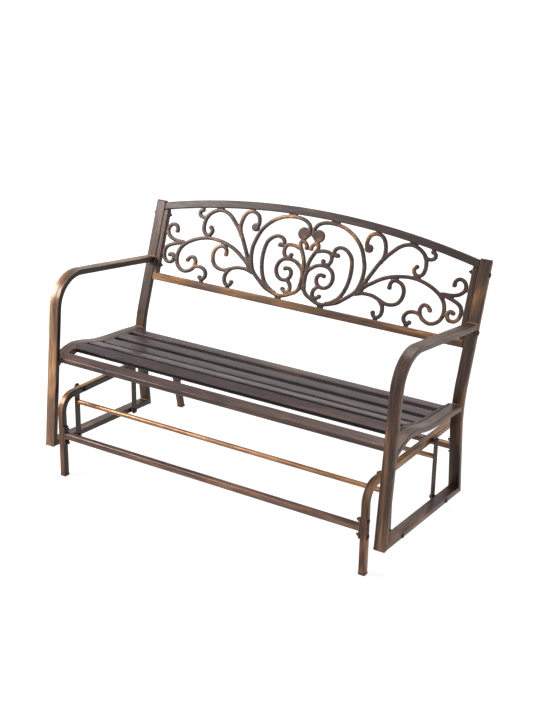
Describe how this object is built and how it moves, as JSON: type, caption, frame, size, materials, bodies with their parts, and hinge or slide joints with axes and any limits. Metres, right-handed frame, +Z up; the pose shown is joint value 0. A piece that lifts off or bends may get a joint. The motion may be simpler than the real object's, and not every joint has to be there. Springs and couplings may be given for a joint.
{
  "type": "outdoor glider bench",
  "caption": "Metal garden glider bench: a slatted seat with armrests and a scrolled arched back hangs by flat arms from a low tube base and glides fore and aft.",
  "frame": {"origin": "on the floor, in the middle between the two side frames and midway between the front and rear feet", "axes": "+X to the sitter's left, seen from the front as the right; +Y to the rear; +Z up"},
  "size_m": [1.2806, 0.6976, 0.8589],
  "materials": {
    "bronze_paint": "antique bronze powder coat, brown with brushed copper highlights",
    "scroll_bronze": "antique bronze paint over a casting, gold brushed on the raised edges",
    "copper_bar": "copper paint, darker along the edges",
    "black_hardware": "black oxide bolts and nuts",
    "foot_plastic": "matte black end caps"
  },
  "bodies": {
    "base": {"base_frame_left": "bronze_paint", "base_frame_right": "bronze_paint", "crossbar_front": "bronze_paint", "crossbar_rear": "bronze_paint", "crossbar_bolt_front_high_left": "black_hardware", "crossbar_bolt_front_high_right": "black_hardware", "crossbar_bolt_front_low_left": "black_hardware", "crossbar_bolt_front_low_right": "black_hardware", "crossbar_bolt_rear_high_left": "black_hardware", "crossbar_bolt_rear_high_right": "black_hardware", "crossbar_bolt_rear_low_left": "black_hardware", "crossbar_bolt_rear_low_right": "black_hardware", "foot_cap_front_left": "foot_plastic", "foot_cap_front_right": "foot_plastic", "foot_cap_rear_left": "foot_plastic", "foot_cap_rear_right": "foot_plastic", "upper_pivot_bolt_front_left": "black_hardware", "upper_pivot_bolt_front_right": "black_hardware", "upper_pivot_bolt_rear_left": "black_hardware", "upper_pivot_bolt_rear_right": "black_hardware"},
    "front_hanger": {"front_arm_left": "bronze_paint", "front_arm_right": "bronze_paint", "front_hanger_bar": "copper_bar"},
    "rear_hanger": {"rear_arm_left": "bronze_paint", "rear_arm_right": "bronze_paint", "rear_hanger_bar": "copper_bar"},
    "seat": {"arm_frame_left": "bronze_paint", "arm_frame_right": "bronze_paint", "back_post_left": "bronze_paint", "back_post_right": "bronze_paint", "sled_rail_left": "bronze_paint", "sled_rail_right": "bronze_paint", "post_cap_left": "bronze_paint", "post_cap_right": "bronze_paint", "seat_side_rail_left": "bronze_paint", "seat_side_rail_right": "bronze_paint", "seat_side_bar_left": "bronze_paint", "seat_side_bar_right": "bronze_paint", "seat_front_rail": "bronze_paint", "seat_slat_1": "bronze_paint", "seat_slat_2": "bronze_paint", "seat_slat_3": "bronze_paint", "seat_slat_4": "bronze_paint", "seat_rear_rail": "bronze_paint", "panel_bottom_rail": "bronze_paint", "panel_top_rail": "bronze_paint", "panel_side_tube_left": "bronze_paint", "panel_side_tube_right": "bronze_paint", "scroll_casting_left": "scroll_bronze", "scroll_casting_right": "scroll_bronze", "panel_bolt_high_left": "black_hardware", "panel_bolt_high_right": "black_hardware", "panel_bolt_low_left": "black_hardware", "panel_bolt_low_right": "black_hardware", "lower_pivot_bolt_front_left": "black_hardware", "lower_pivot_bolt_front_right": "black_hardware", "lower_pivot_bolt_rear_left": "black_hardware", "lower_pivot_bolt_rear_right": "black_hardware"}
  },
  "joints": [
    {"name": "front_hanger_swing", "type": "hinge", "parent": "base", "child": "front_hanger", "pos_m": [0, -0.2305, 0.27875], "axis": [1, 0, 0], "range_deg": [-16, 16]},
    {"name": "rear_hanger_swing", "type": "hinge", "parent": "base", "child": "rear_hanger", "pos_m": [0, 0.0805, 0.26693], "axis": [1, 0, 0], "range_deg": [-15, 15]},
    {"name": "seat_on_front_hanger", "type": "hinge", "parent": "front_hanger", "child": "seat", "pos_m": [0, -0.2305, 0.09817], "axis": [1, 0, 0], "range_deg": [-16.5, 16.5]}
  ],
  "couplings": [
    {"joint": "rear_hanger_swing", "follows": "front_hanger_swing", "ratio": 0.9325},
    {"joint": "seat_on_front_hanger", "follows": "front_hanger_swing", "ratio": -1}
  ]
}
